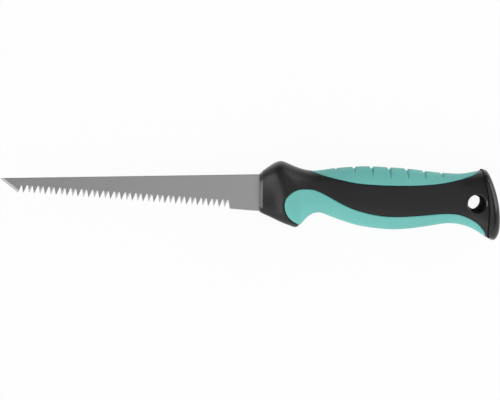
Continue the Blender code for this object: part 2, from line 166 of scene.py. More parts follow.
FLANGE_FACE_INSET = 1.0
FLANGE_FOOT_FACE_INSET = 0.15
END_FACE_STEP = 0.8
END_FACE_REACH = 10.5

# Soft layers over the core
SOFT_WALL = 3.0
CORE_FRONT = 5.0
CORE_FACE_INSETS = (5.0, 7.0)
FIT = 0.3
LIP = 0.4

# Hang hole
HOLE_X = HANDLE_LENGTH - 8.3
HOLE_Y = -1.15
HOLE_RADIUS = 5.1
HOLE_WAIST = 3.95
HOLE_LIP = 0.75
HOLE_BACKING = 0.1
HOLE_BACKING_DEPTH = 0.4
# Lip of the hang hole: pairs of a distance out from its wall and a depth under the skin
HOLE_LIP_LINE = ((HOLE_LIP, 0.02), (0.2, 0.29), (0.07, 0.4), (0.0, 0.6))
# Wall of the hang hole: shares of the way from its waist to its lip
HOLE_WALL_SHARES = (0.75, 0.5, 0.25)

# Seams between the black skin and the grips, from the front to the rear
UPPER_SEAM = (
    (0.182, 18.9), (0.246, 15.9), (0.299, 13.85), (0.35, 12.2), (0.419, 10.4), (0.488, 9.6),
    (0.575, 9.1), (0.688, 9.2), (0.767, 9.95), (0.821, 11.1), (0.874, 12.8), (0.93, 15.3),
    (0.981, 18.5),
)
LOWER_SEAM = (
    (0.19, -17.0), (0.159, -13.5), (0.124, -10.35), (0.1058, -6.9), (0.0985, -2.2), (0.1085, 2.4),
    (0.1265, 4.75), (0.149, 6.6), (0.19, 7.4), (0.228, 6.8), (0.263, 5.0), (0.298, 2.5),
    (0.35, -1.3), (0.402, -4.4), (0.455, -6.55), (0.515, -8.2), (0.593, -8.8), (0.663, -8.45),
    (0.734, -7.75), (0.804, -7.15), (0.838, -7.25), (0.874, -8.1), (0.909, -10.05), (0.944, -13.05),
    (0.962, -15.8), (0.978, -19.3), (0.986, -23.5),
)

# Flutes across the top of the upper grip
FLUTE_COUNT = 7
FLUTE_PITCH = 10.15
FLUTE_MIDDLE = 0.562 * HANDLE_LENGTH
FLUTE_DEPTH = 1.55
FLUTE_END_SHARE = 0.85
FLUTE_SLOPE = 1.15
FLUTE_REACH = math.radians(45.0)
FLUTE_FRONT_REACH = 0.6
FLUTE_REAR_REACH = 0.85
FLUTE_HALF = 1.6
FLUTES_FROM = 20.0

# How far cutters run past what they cut
GULLET_PAST = 1.5
GULLET_GROWN = 1.0
BLADE_CUT = 3.0
CORE_CUT = 20.0
SKIN_CUT = 25.0
WINDOW_TOP_Y = 40.0
WINDOW_BOTTOM_Y = -45.0
SLOT_PAST = 5.0
SLOT_DEEPER = 2.0

# Fineness of the surfaces
RING_POINTS = 280
STEP = 0.45
GRIP_STEP = STEP * 1.3
PLAIN_STEP = 4.0
HIDDEN_STEP = 2.5
SEAM_STEP = 0.8
SEAM_FINE_STEP = 0.05
EDGE_RINGS = 12
REAR_RINGS = 7
FLUTE_RINGS = 17
FLANGE_FRONT_RINGS = 9
FLANGE_REAR_RINGS = 17
TANG_BORE_SIDES = 24
CORE_BORE_SIDES = 32
HOLE_SIDES = 96

# Small distances: the nudge that slopes are measured by, and what counts as on the skin or on an edge
NUDGE = 0.02
ON_SKIN = 0.05
ON_EDGE = 0.1
SETTLING_ROUNDS = 4
HALVINGS = 40

# Which faces count as ground facets, as facing forward and as upright, by a share of their direction
FACET_TILT = (0.05, 0.97)
FORWARD = -0.6
UPRIGHT = 0.3
STEEPEST = 0.02

# Where the saw's own axes lie in the frame
PLACE = np.array((
    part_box("handle_sleeve")[0].x,
    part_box("blade")[1].y - CAD_SPINE_Y * MM,
    (cad_low.z + cad_high.z) / 2,
))


def placed(points):
    """Points on the saw's own axes as points of the frame, in metres."""
    return np.asarray(points, float) * MM + PLACE


def smooth_line(points):
    """A smooth function through (x, y) points: the natural cubic spline."""
    x, y = np.array(points, float).T
    step = np.diff(x)
    matrix, right = np.eye(len(x)), np.zeros(len(x))
    for i in range(1, len(x) - 1):
        matrix[i, i - 1:i + 2] = step[i - 1], 2 * (step[i - 1] + step[i]), step[i]
        right[i] = 6 * ((y[i + 1] - y[i]) / step[i] - (y[i] - y[i - 1]) / step[i - 1])
    bend = np.linalg.solve(matrix, right)

    def value(at):
        at = np.asarray(at, float)
        i = np.clip(np.searchsorted(x, at) - 1, 0, len(x) - 2)
        before, after = at - x[i], x[i + 1] - at
        cubic = (bend[i] * after ** 3 + bend[i + 1] * before ** 3) / (6 * step[i])
        near = (y[i] / step[i] - bend[i] * step[i] / 6) * after
        far = (y[i + 1] / step[i] - bend[i + 1] * step[i] / 6) * before
        return cubic + near + far

    return value


def handle_line(points):
    """A smooth function of the place along the handle."""
    return smooth_line([(share * HANDLE_LENGTH, value) for share, value in points])


top_y = handle_line(TOP_LINE)
bottom_y = handle_line(BOTTOM_LINE)
half_width = handle_line(HALF_WIDTH_LINE)
squareness = handle_line(SQUARENESS_LINE)


def dome(y, z, middle_y, radius, side_radius):
    """How far a shallow dome has fallen away at a point."""
    return (y - middle_y) ** 2 / (2 * radius) + z ** 2 / (2 * side_radius)


def seam_dome(y, z):
    """How far the butt's groove lies forward of its rearmost place."""
    return dome(y, z, BUTT_MIDDLE_Y, BUTT_SEAM_RADIUS, BUTT_SEAM_SIDE_RADIUS)


def bow(x, y, z):
    """How far the rings near the butt lean forward to follow its domed groove."""
    share = np.clip((x - BUTT_BOW_FROM) / (HANDLE_LENGTH - BUTT_BOW_FROM), 0.0, 1.0)
    return share * share * (3 - 2 * share) * seam_dome(y, z)


def oval(top, bottom, width, power):
    """Points (y, z) round a squared oval, from its top."""
    turn = 2 * np.pi * np.arange(RING_POINTS) / RING_POINTS
    up, out = np.cos(turn), np.sin(turn)
    height = (top - bottom) / 2
    reach = (np.abs(up / height) ** power + np.abs(out / width) ** power) ** (-1 / power)
    return (top + bottom) / 2 + reach * up, reach * out


def side_reach(x, y):
    """Half the handle's thickness at a point of its side view, with the bolster's leaning ridge."""
    shift = RIDGE_SHIFT * np.tanh((y - RIDGE_LEVEL) / RIDGE_BEND)
    return half_width(x + shift * np.interp(x, *np.array(RIDGE_SHARE).T))


def skin_ring(x, inset=0.0, side_inset=None):
    """The handle's cross-section at x, drawn in at its top and bottom and at its sides."""
    side = inset if side_inset is None else side_inset
    width = half_width(x) - side
    y, z = oval(top_y(x) - inset, bottom_y(x) + inset, width, squareness(x))
    z = z / width * (side_reach(x, y) - side)
    return np.stack((x - bow(x, y, z), y, z), axis=1)


def flange_ring(share, foot_share, inset, top_inset, foot_inset):
    """A ring of the butt flange, at a share of the way from front to end, and at another at its foot."""
    y, z = oval(
        FLANGE_TOP_Y - top_inset, FLANGE_BOTTOM_Y + foot_inset,
        FLANGE_HALF_WIDTH - inset, FLANGE_SQUARENESS)
    front = HANDLE_LENGTH + BUTT_GROOVE - seam_dome(y, z)
    fall = dome(y, z, FLANGE_MIDDLE_Y, BUTT_END_RADIUS, BUTT_END_SIDE_RADIUS)
    end = HANDLE_LENGTH + FLANGE_THICKNESS - fall
    foot = np.clip((FLANGE_FOOT_Y - y) / (FLANGE_FOOT_Y - FLANGE_BOTTOM_Y), 0.0, 1.0)
    share = share + foot * (foot_share - share)
    return np.stack((front + share * (end - front), y, z), axis=1)


def steps(start, end, step):
    """Even places from start to end, no more than step apart."""
    return np.linspace(start, end, max(2, math.ceil(abs(end - start) / step) + 1))


def shell_rings(outer_stations):
    """Rings of the hollow soft layer: front, outside, rear edge, inside, and the face before the core."""
    deep = SOFT_WALL - FIT
    rings = [skin_ring(FRONT_X, inset, inset + FRONT_INSET_SIDE) for inset in FRONT_FACE_INSETS]
    for share in np.linspace(0.0, 1.0, EDGE_RINGS)[:-1]:
        left = 1 - share
        rings.append(skin_ring(
            FRONT_X + FRONT_RUN * share, FRONT_INSET_EDGE * left, FRONT_INSET_SIDE * left))
    rings += [skin_ring(x) for x in outer_stations]
    for turn in np.linspace(0.0, np.pi / 2, REAR_RINGS)[1:]:
        rings.append(skin_ring(
            HANDLE_LENGTH - REAR_ROUND * (1 - math.sin(turn)), REAR_ROUND * (1 - math.cos(turn))))
    rings += [skin_ring(HANDLE_LENGTH, inset) for inset in (REAR_FACE_INSET, deep)]
    inside = steps(HANDLE_LENGTH - REAR_FACE_DEPTH, CORE_FRONT - FIT, HIDDEN_STEP)
    rings += [skin_ring(x, deep) for x in inside]
    rings += [skin_ring(CORE_FRONT - FIT, inset) for inset in CORE_FACE_INSETS]
    return rings


def plain_stations():
    """Places along the outside of a soft layer without flutes."""
    return steps(FRONT_X + FRONT_RUN, HANDLE_LENGTH - REAR_ROUND, STEP)


def select_only(*objects):
    bpy.ops.object.select_all(action="DESELECT")
    for obj in objects:
        obj.select_set(True)
        bpy.context.view_layer.objects.active = obj


def set_points(obj, points):
    obj.data.vertices.foreach_set("co", np.asarray(points, np.float32).ravel())
    obj.data.update()


def get_points(obj):
    points = np.empty(len(obj.data.vertices) * 3, np.float32)
    obj.data.vertices.foreach_get("co", points)
    return points.reshape(-1, 3).astype(float)


def wrapped_sheet(name, rings):
    """A grid sheet wrapped through the rings, then joined along its seam and filled at its two ends."""
    rings = placed(rings)
    along, around = rings.shape[:2]
    bpy.ops.object.select_all(action="DESELECT")
    bpy.ops.mesh.primitive_grid_add(x_subdivisions=along - 1, y_subdivisions=around, size=1)
    obj = bpy.context.active_object
    obj.name = obj.data.name = name
    flat = get_points(obj) + 0.5
    row = np.rint(flat[:, 0] * (along - 1)).astype(int)
    column = np.rint(flat[:, 1] * around).astype(int) % around
    set_points(obj, rings[row, column])
    bpy.ops.object.mode_set(mode="EDIT")
    bpy.ops.mesh.select_all(action="SELECT")
    bpy.ops.mesh.remove_doubles(threshold=1e-6)
    bpy.ops.mesh.fill_holes(sides=0)
    bpy.ops.mesh.select_all(action="SELECT")
    bpy.ops.mesh.normals_make_consistent(inside=False)
    bpy.ops.mesh.quads_convert_to_tris()
    bpy.ops.object.mode_set(mode="OBJECT")
    return obj


def block(name, low, low_z, high, high_z):
    """A block between two outlines: a filled circle, drawn to the low one and extruded to the high."""
    bpy.ops.object.select_all(action="DESELECT")
    bpy.ops.mesh.primitive_circle_add(vertices=len(low), radius=1, fill_type="NGON")
    obj = bpy.context.active_object
    obj.name = obj.data.name = name
    set_points(obj, placed([(x, y, low_z) for x, y in low]))
    bpy.ops.object.mode_set(mode="EDIT")
    bpy.ops.mesh.select_all(action="SELECT")
    bpy.ops.mesh.extrude_region_move(TRANSFORM_OT_translate={"value": (0, 0, (high_z - low_z) * MM)})
    bpy.ops.object.mode_set(mode="OBJECT")
    points = get_points(obj)
    raised = np.flatnonzero(points[:, 2] > PLACE[2] + (low_z + high_z) / 2 * MM)
    corners = placed([(x, y, 0) for x, y in low])
    nearest = [np.argmin([math.dist(p[:2], q[:2]) for q in corners]) for p in points[raised]]
    points[raised[np.argsort(nearest)]] = placed([(x, y, high_z) for x, y in high])
    set_points(obj, points)
    bpy.ops.object.mode_set(mode="EDIT")
    bpy.ops.mesh.select_all(action="SELECT")
    bpy.ops.mesh.normals_make_consistent(inside=False)
    bpy.ops.object.mode_set(mode="OBJECT")
    return obj


def straight_block(name, outline, reach):
    return block(name, outline, -reach, outline, reach)


def round_bar(name, x, y, radius, reach, sides):
    turns = [2 * math.pi * k / sides for k in range(sides)]
    outline = [(x + radius * math.cos(a), y + radius * math.sin(a)) for a in turns]
    return straight_block(name, outline, reach)


def joined(name, objects):
    select_only(*objects)
    bpy.ops.object.join()
    obj = bpy.context.active_object
    obj.name = name
    return obj


def cut(obj, cutter, operation="DIFFERENCE"):
    """Cuts obj and removes the cutter."""
    select_only(obj)
    modifier = obj.modifiers.new("cut", "BOOLEAN")
    modifier.object = cutter
    modifier.operation = operation
    modifier.solver = "EXACT"
    modifier.material_mode = "TRANSFER"
    bpy.ops.object.modifier_apply(modifier=modifier.name)
    bpy.data.objects.remove(cutter, do_unlink=True)


def seam_path(points, shift, step):
    """The seam as (x, y) points, moved sideways by shift to the left of its direction."""
    corners = np.array([(share * HANDLE_LENGTH, y) for share, y in points])
    along = np.concatenate(([0.0], np.cumsum(np.hypot(*np.diff(corners, axis=0).T))))
    path_x, path_y = (smooth_line(np.stack((along, column), 1)) for column in corners.T)
    s = steps(0.0, along[-1], step)
    run = np.stack((path_x(s + NUDGE) - path_x(s - NUDGE), path_y(s + NUDGE) - path_y(s - NUDGE)), 1)
    run /= np.linalg.norm(run, axis=1)[:, None]
    return np.stack((path_x(s) - shift * run[:, 1], path_y(s) + shift * run[:, 0]), 1)


def seam_block(name, seam, shift, far_y):
    """A cutter bounded by the seam and closed at far_y."""
    path = [tuple(p) for p in seam_path(seam, shift, SEAM_STEP)]
    return straight_block(name, path + [(path[-1][0], far_y), (path[0][0], far_y)], SKIN_CUT)


def skin_level(points):
    """How far points lie outside the handle's skin, in millimetres or nearly so."""
    x, y, z = points.T
    station = x
    for _ in range(SETTLING_ROUNDS):
        station = np.clip(x + bow(station, y, z), 0.0, HANDLE_LENGTH)
    top, bottom = top_y(station), bottom_y(station)
    width, power = side_reach(station, y), squareness(station)
    height = (top - bottom) / 2
    size = np.abs((y - (top + bottom) / 2) / height) ** power + np.abs(z / width) ** power
    return (size ** (1 / power) - 1) * width


def side_height(x, y):
    """Half the handle's thickness at points of its side view, found by halving."""
    low, high = np.zeros(len(x)), np.full(len(x), 2 * FLANGE_HALF_WIDTH)
    for _ in range(HALVINGS):
        middle = (low + high) / 2
        inside = skin_level(np.stack((x, y, middle), axis=1)) < 0
        low, high = np.where(inside, middle, low), np.where(inside, high, middle)
    return low


def skin_normal(points):
    """The outward directions of the skin at points on it."""
    slope = np.stack([skin_level(points + n) - skin_level(points - n) for n in NUDGE * np.eye(3)], 1)
    return slope / np.linalg.norm(slope, axis=1)[:, None]


def seam_sink(at, normal, seam):
    """How far the skin's rounded lip has fallen away beside a seam."""
    path = seam_path(seam, 0.0, SEAM_FINE_STEP)
    tree = kdtree.KDTree(len(path))
    for i, (x, y) in enumerate(path):
        tree.insert((x, y, 0.0), i)
    tree.balance()
    near = np.array([path[tree.find((x, y, 0.0))[1]] for x, y, _ in at])
    away = at[:, :2] - near
    gap = np.linalg.norm(away, axis=1)
    along = np.sum(away * normal[:, :2], axis=1) / np.maximum(gap, 1e-6)
    on_surface = np.maximum(gap - FIT / 2, 0.0) / np.sqrt(np.maximum(1 - along ** 2, STEEPEST))
    return LIP * np.clip(1 - on_surface / LIP, 0.0, 1.0) ** 2


def flute_sink(at):
    """How deep the flutes are: straight-sided, and shallower at their ends and the ends of their row."""
    middle = (top_y(at[:, 0]) + bottom_y(at[:, 0])) / 2
    turn = np.abs(np.arctan2(at[:, 2], at[:, 1] - middle))
    sink = np.zeros(len(at))
    for i in range(FLUTE_COUNT):
        off = (i - (FLUTE_COUNT - 1) / 2) / ((FLUTE_COUNT - 1) / 2)
        end_reach = FLUTE_FRONT_REACH if off < 0 else FLUTE_REAR_REACH
        reach = FLUTE_REACH * (1 - (1 - end_reach) * off ** 2)
        deepest = FLUTE_DEPTH * (1 - (1 - FLUTE_END_SHARE) * off ** 2)
        depth = deepest * np.maximum(0, 1 - (turn / reach) ** 2)
        sink = np.maximum(sink, depth - FLUTE_SLOPE * np.abs(at[:, 0] - flute_x(i)))
    return sink


def soften(obj, seams, flutes=False):
    """Rounds the skin along its cut edges and sinks the flutes, on vertices of the outer face alone."""
    points = (get_points(obj) - PLACE) / MM
    outer = np.flatnonzero(np.abs(skin_level(points)) < ON_SKIN)
    at = points[outer]
    normal = skin_normal(at)
    sink = np.max([seam_sink(at, normal, seam) for seam in seams], axis=0)
    if flutes:
        sink = np.maximum(sink, flute_sink(at))
    points[outer] -= normal * sink[:, None]
    set_points(obj, placed(points))


def flute_x(i):
    """The place of a flute along the handle."""
    return FLUTE_MIDDLE + (i - (FLUTE_COUNT - 1) / 2) * FLUTE_PITCH


def finish_piece(obj, node, slot, angle, *materials):
    """Gives a piece its finishes and place in the frame. Edges over the angle in degrees stay sharp."""
    obj.data.materials.clear()
    for material in materials:
        obj.data.materials.append(material)
    select_only(obj)
    bpy.ops.object.shade_smooth_by_angle(angle=math.radians(angle))
    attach(obj, "root")
    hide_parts(node)


def paint_blade(blade):
    """Gives the ground facets of the teeth and the tip the blade's second finish."""
    for face in blade.data.polygons:
        x, y, _ = (np.array(face.center) - PLACE) / MM
        slanted = FACET_TILT[0] < abs(face.normal.z) < FACET_TILT[1]
        spine = y > POINT_Y - 2 * ON_EDGE and x > -BLADE_REACH + TIP_BEVEL * 2
        heel = y < TOOTH_LINE_END_Y - HEEL_STEP / 2
        face.material_index = int(slanted and not spine and not heel)


def paint_core(core):
    """Gives the faces that look forward, into the groove, the core's second finish, painted shade."""
    for face in core.data.polygons:
        face.material_index = int(face.normal.x < FORWARD)


def paint_skin(skin):
    """Gives the hang hole's wall the skin's second finish, painted shade, and its lip and the front edge
    the third.
    """
    for face in skin.data.polygons:
        x, y, _ = (np.array(face.center) - PLACE) / MM
        if x < FRONT_X + FRONT_RUN:
            face.material_index = 2
        elif math.hypot(x - HOLE_X, y - HOLE_Y) < HOLE_RADIUS + HOLE_LIP - NUDGE:
            face.material_index = 1 if abs(face.normal.z) < UPRIGHT else 2


def tooth_line_y(x):
    """The height of the line through the tips of the teeth."""
    slope = (TOOTH_LINE_END_Y - TIP_CORNER_Y) / ((TOOTH_COUNT + 1) * TOOTH_PITCH)
    return TIP_CORNER_Y + slope * (x - TIP_RUN + BLADE_REACH)


def tooth(number):
    """One tooth's left root, right root and tip."""
    tip_x = TIP_RUN - BLADE_REACH + number * TOOTH_PITCH
    tip_y = tooth_line_y(tip_x)
    left = tip_x - (1 - TOOTH_LEAN) * TOOTH_PITCH + GULLET_FLAT / 2
    right = tip_x + TOOTH_LEAN * TOOTH_PITCH - GULLET_FLAT / 2
    return (left, tip_y + TOOTH_DEPTH), (right, tip_y + TOOTH_DEPTH), (tip_x, tip_y)


def run_on(start, through, share):
    """The point at a share of the way from start to another point, or past it."""
    return (start[0] + (through[0] - start[0]) * share, start[1] + (through[1] - start[1]) * share)


def gullet(number):
    """A cutter for the gap after a tooth. Its ends are out of line, to grind each tooth on one side."""
    _, root, tip = tooth(number)
    next_root, _, next_tip = tooth(number + 1)
    if number == TOOTH_COUNT:
        next_tip = (next_tip[0], next_tip[1] - HEEL_STEP)
    far_root = (next_root[0] + TOOTH_GRIND, next_root[1])
    far_tip = (next_tip[0] + TOOTH_GRIND, next_tip[1])
    sides = [run_on(root, tip, GULLET_PAST), root, far_root, run_on(far_root, far_tip, GULLET_PAST)]
    front_shift = 0.0 if number % 2 else -TOOTH_GRIND
    back_shift = front_shift + (-TOOTH_GRIND if number % 2 else TOOTH_GRIND)
    extra = (front_shift - back_shift) / BLADE_THICKNESS * GULLET_GROWN
    back = [(x + back_shift - extra, y) for x, y in sides]
    front = [(x + front_shift + extra, y) for x, y in sides]
    reach = BLADE_THICKNESS / 2 + GULLET_GROWN
    return block("gullet", back, -reach, front, reach)


def first_gullet():
    """A cutter for the notch between the plunge tip and the first tooth."""
    corner = (TIP_RUN - BLADE_REACH, TIP_CORNER_Y)
    next_root, _, next_tip = tooth(1)
    root = (next_root[0] - GULLET_FLAT, corner[1] + TOOTH_DEPTH)
    near, far = run_on(root, corner, GULLET_PAST), run_on(next_root, next_tip, GULLET_PAST)
    return straight_block("gullet", [near, root, next_root, far], BLADE_CUT)


def make_blade():
    """A tapered plate with its tang, cut by the gullets and ground to a double bevel at the tip."""
    corner = Vector((TIP_RUN - BLADE_REACH, TIP_CORNER_Y))
    point = Vector((-BLADE_REACH, POINT_Y))
    shoulder = CORE_FRONT - FIT
    outline = [
        tuple(point), tuple(corner), (HEEL_X, tooth_line_y(HEEL_X) - HEEL_STEP), (0.0, HEEL_Y),
        (shoulder, HEEL_Y), (shoulder, TANG_BOTTOM_Y), (TANG_REACH - TANG_CORNER, TANG_BOTTOM_Y),
        (TANG_REACH, TANG_BOTTOM_Y + TANG_CORNER), (TANG_REACH, TANG_TOP_Y - TANG_CORNER),
        (TANG_REACH - TANG_CORNER, TANG_TOP_Y), (shoulder, TANG_TOP_Y), (shoulder, SPINE_Y),
        (0.0, SPINE_Y),
    ]
    blade = straight_block("ground_blade", outline, BLADE_THICKNESS / 2)
    round_spine(blade)
    odd = [gullet(n) for n in range(1, TOOTH_COUNT + 1, 2)]
    even = [gullet(n) for n in range(2, TOOTH_COUNT + 1, 2)]
    cut(blade, joined("odd_gullets", odd))
    cut(blade, joined("even_gullets", even))
    cut(blade, first_gullet())
    bores = [round_bar("bore", x, PIN_Y, PIN_BORE / 2, BLADE_CUT, TANG_BORE_SIDES) for x in PIN_PLACES]
    cut(blade, joined("tang_bores", bores))
    grind_tip(blade, point, corner)
    return blade


def round_spine(blade):
    """Breaks the long edges of the spine and of the plain heel."""
    select_only(blade)
    points = (get_points(blade) - PLACE) / MM
    for edge in blade.data.edges:
        a, b = points[list(edge.vertices)]
        lengthwise = abs(a[2] - b[2]) < ON_EDGE and max(a[0], b[0]) < ON_EDGE
        spine = min(a[1], b[1]) > POINT_Y - ON_EDGE
        heel = max(a[1], b[1]) < TOOTH_LINE_END_Y
        edge.select = bool(lengthwise and (spine or heel))
    for vertex in blade.data.vertices:
        vertex.select = False
    bpy.ops.object.mode_set(mode="EDIT")
    bpy.ops.mesh.select_mode(type="EDGE")
    bpy.ops.mesh.bevel(offset=SPINE_ROUND * MM, segments=3, affect="EDGES")
    bpy.ops.mesh.select_mode(type="VERT")
    bpy.ops.object.mode_set(mode="OBJECT")


def grind_tip(blade, point, corner):
    """Cuts the plunge tip back from both faces to an edge in the middle plane."""
    edge = (corner - point).normalized()
    inward = Vector((-edge.y, edge.x))
    rise = BLADE_THICKNESS / 2 / TIP_BEVEL
    select_only(blade)
    bpy.ops.object.mode_set(mode="EDIT")
    for side in (-1, 1):
        bpy.ops.mesh.select_all(action="SELECT")
        bpy.ops.mesh.bisect(
            plane_co=placed((point.x, point.y, 0.0)),
            plane_no=(-rise * inward.x, -rise * inward.y, side),
            use_fill=True, clear_outer=True, threshold=1e-7)
    bpy.ops.object.mode_set(mode="OBJECT")


def make_core():
    """The hard core: a plain stem under the soft layers and the bullnosed flange at the butt."""
    rings = [skin_ring(CORE_FRONT, inset) for inset in reversed(CORE_FACE_INSETS)]
    stem = steps(CORE_FRONT, HANDLE_LENGTH + BUTT_GROOVE, HIDDEN_STEP)
    rings += [skin_ring(x, SOFT_WALL) for x in stem]
    rings.append(flange_ring(
        0.0, 0.0, FLANGE_FRONT_ROUND + FLANGE_FACE_INSET, FLANGE_TOP_ROUND + FLANGE_FACE_INSET,
        FLANGE_FOOT_ROUND + FLANGE_FOOT_FACE_INSET))
    for turn in np.linspace(0.0, np.pi / 2, FLANGE_FRONT_RINGS):
        run, fall = 1 - math.cos(turn), 1 - math.sin(turn)
        rings.append(flange_ring(
            FLANGE_FRONT_RUN * run, FLANGE_FOOT_RUN * run,
            FLANGE_FRONT_ROUND * fall, FLANGE_TOP_ROUND * fall, FLANGE_FOOT_ROUND * fall))
    for turn in np.linspace(0.0, np.pi / 2, FLANGE_REAR_RINGS):
        left, fall = 1 - math.sin(turn), 1 - math.cos(turn)
        rings.append(flange_ring(
            1 - FLANGE_REAR_RUN * left, 1 - (1 - FLANGE_FOOT_RUN) * left,
            FLANGE_REAR_ROUND * fall, FLANGE_REAR_TOP_ROUND * fall, FLANGE_REAR_ROUND * fall))
    for more in np.arange(END_FACE_STEP, END_FACE_REACH, END_FACE_STEP):
        inset = FLANGE_REAR_ROUND + more
        rings.append(flange_ring(1.0, 1.0, inset, FLANGE_REAR_TOP_ROUND + more, inset))
    core = wrapped_sheet("butt_and_core", rings)
    cut(core, blade_slot(CORE_FRONT - SLOT_PAST, TANG_REACH + FIT, TANG_BOTTOM_Y, TANG_TOP_Y))
    bars = [round_bar("bore", x, PIN_Y, PIN_BORE / 2, CORE_CUT, CORE_BORE_SIDES) for x in PIN_PLACES]
    hole_radius = HOLE_RADIUS + HOLE_LIP + HOLE_BACKING + FIT
    bars.append(round_bar("hole", HOLE_X, HOLE_Y, hole_radius, CORE_CUT, HOLE_SIDES))
    cut(core, joined("core_bores", bars))
    return core


def blade_slot(start, end, bottom, top):
    """A cutter for the slot that takes the blade or its tang."""
    low, high = bottom - FIT, top + FIT
    outline = [(start, low), (end, low), (end, high), (start, high)]
    return straight_block("blade_slot", outline, BLADE_THICKNESS / 2 + FIT)


def make_skin():
    """The black soft skin, with windows for the two grips, the blade's slot and the lined hang hole."""
    skin = wrapped_sheet("black_skin", shell_rings(plain_stations()))
    cut(skin, joined("skin_windows", [
        seam_block("upper_window", UPPER_SEAM, -FIT / 2, WINDOW_TOP_Y),
        seam_block("lower_window", LOWER_SEAM, FIT / 2, WINDOW_BOTTOM_Y),
        blade_slot(-SLOT_PAST, CORE_FRONT + SLOT_DEEPER, HEEL_Y, SPINE_Y),
        round_bar("hole", HOLE_X, HOLE_Y, HOLE_RADIUS + HOLE_LIP, SKIN_CUT, HOLE_SIDES),
    ]))
    soften(skin, (UPPER_SEAM, LOWER_SEAM))
    return joined("black_skin", [line_hole(), skin])


def line_hole():
    """The lining of the hang hole: a bevelled lip on each side and a wall that narrows to the middle."""
    turn = 2 * np.pi * np.arange(HOLE_SIDES) / HOLE_SIDES

    def ring(out, depth, share=1.0):
        x = HOLE_X + (HOLE_RADIUS + out) * np.cos(turn)
        y = HOLE_Y + (HOLE_RADIUS + out) * np.sin(turn)
        return np.stack((x, y, share * (side_height(x, y) - depth)), axis=1)

    back = HOLE_LIP + HOLE_BACKING
    deepest = HOLE_LIP_LINE[-1][1]
    half = [ring(back, HOLE_BACKING_DEPTH)] + [ring(out, depth) for out, depth in HOLE_LIP_LINE]
    narrowing = HOLE_RADIUS - HOLE_WAIST
    half += [ring((share - 1) * narrowing, deepest, share) for share in HOLE_WALL_SHARES]
    far_half = [points * (1, 1, -1) for points in reversed(half)]
    waist = ring(HOLE_WAIST - HOLE_RADIUS, 0.0, 0.0)
    outside = ring(back, 0.0, 0.0)
    return wrapped_sheet("hole_lining", [outside] + half + [waist] + far_half + [outside])


def make_upper_grip():
    """The fluted grip over the top of the handle."""
    stations = list(steps(FRONT_X + FRONT_RUN, FLUTES_FROM, PLAIN_STEP)[:-1])
    before = FLUTES_FROM
    for i in range(FLUTE_COUNT):
        start, end = flute_x(i) - FLUTE_HALF, flute_x(i) + FLUTE_HALF
        stations += list(steps(before, start, GRIP_STEP)[:-1])
        stations += list(np.linspace(start, end, FLUTE_RINGS)[:-1])
        before = end
    stations += list(steps(before, HANDLE_LENGTH - REAR_ROUND, STEP))
    grip = wrapped_sheet("upper_soft_grip", shell_rings(stations))
    cut(grip, seam_block("upper_region", UPPER_SEAM, FIT / 2, WINDOW_TOP_Y), "INTERSECT")
    soften(grip, (UPPER_SEAM,), flutes=True)
    return grip


def make_lower_grip():
    """The grip under the handle, with the round lobe behind the bolster."""
    grip = wrapped_sheet("lower_soft_grip", shell_rings(plain_stations()))
    cut(grip, seam_block("lower_region", LOWER_SEAM, -FIT / 2, WINDOW_BOTTOM_Y), "INTERSECT")
    soften(grip, (LOWER_SEAM,))
    return grip


def linear(hex_colour):
    """An sRGB hex value as a linear RGBA colour."""
    parts = [int(hex_colour[i:i + 2], 16) / 255 for i in (1, 3, 5)]
    return tuple(c / 12.92 if c <= 0.04045 else ((c + 0.055) / 1.055) ** 2.4 for c in parts) + (1.0,)


def new_material(name):
    material = bpy.data.materials.new(name)
    material.use_nodes = True
    return material, material.node_tree.nodes["Principled BSDF"]


def node(tree, kind, settings=(), values=(), links=()):
    """Adds a node with its settings, its socket values, and links from (node, output) to its sockets."""
    made = tree.nodes.new(kind)
    for name, value in dict(settings).items():
        setattr(made, name, value)
    for name, value in dict(values).items():
        made.inputs[name].default_value = value
    for name, (source, output) in dict(links).items():
        tree.links.new(source.outputs[output], made.inputs[name])
    return made


def per_mm(size):
    """A pattern scale for Object coordinates, from a real size in millimetres."""
    return 1 / (size * MM)


def soft_rubber(name, dark, light, roughness, sheen=0.5):
    """Thermoplastic rubber moulded in a spark-eroded tool: an even, matt, slightly waxy face with a fine
    grain, a touch paler where the light grazes it. The real grain, about 0.2 mm, is drawn at 0.5 mm."""
    material, shader = new_material(name)
    tree = material.node_tree
    shader.inputs["Roughness"].default_value = roughness
    shader.inputs["IOR"].default_value = 1.48
    shader.inputs["Specular IOR Level"].default_value = sheen
    place = node(tree, "ShaderNodeTexCoord")
    cloud = node(tree, "ShaderNodeTexNoise",
                 values={"Scale": per_mm(14.0), "Detail": 3.0, "Roughness": 0.6},
                 links={"Vector": (place, "Object")})
    tint = node(tree, "ShaderNodeMixRGB", values={"Color1": linear(dark), "Color2": linear(light)},
                links={"Fac": (cloud, "Fac")})
    tree.links.new(tint.outputs["Color"], shader.inputs["Base Color"])
    grain = node(tree, "ShaderNodeTexNoise",
                 values={"Scale": per_mm(0.5), "Detail": 2.0, "Roughness": 0.5},
                 links={"Vector": (place, "Object")})
    bump = node(tree, "ShaderNodeBump", values={"Strength": 0.25, "Distance": 0.02 * MM},
                links={"Height": (grain, "Fac")})
    tree.links.new(bump.outputs["Normal"], shader.inputs["Normal"])
    return material


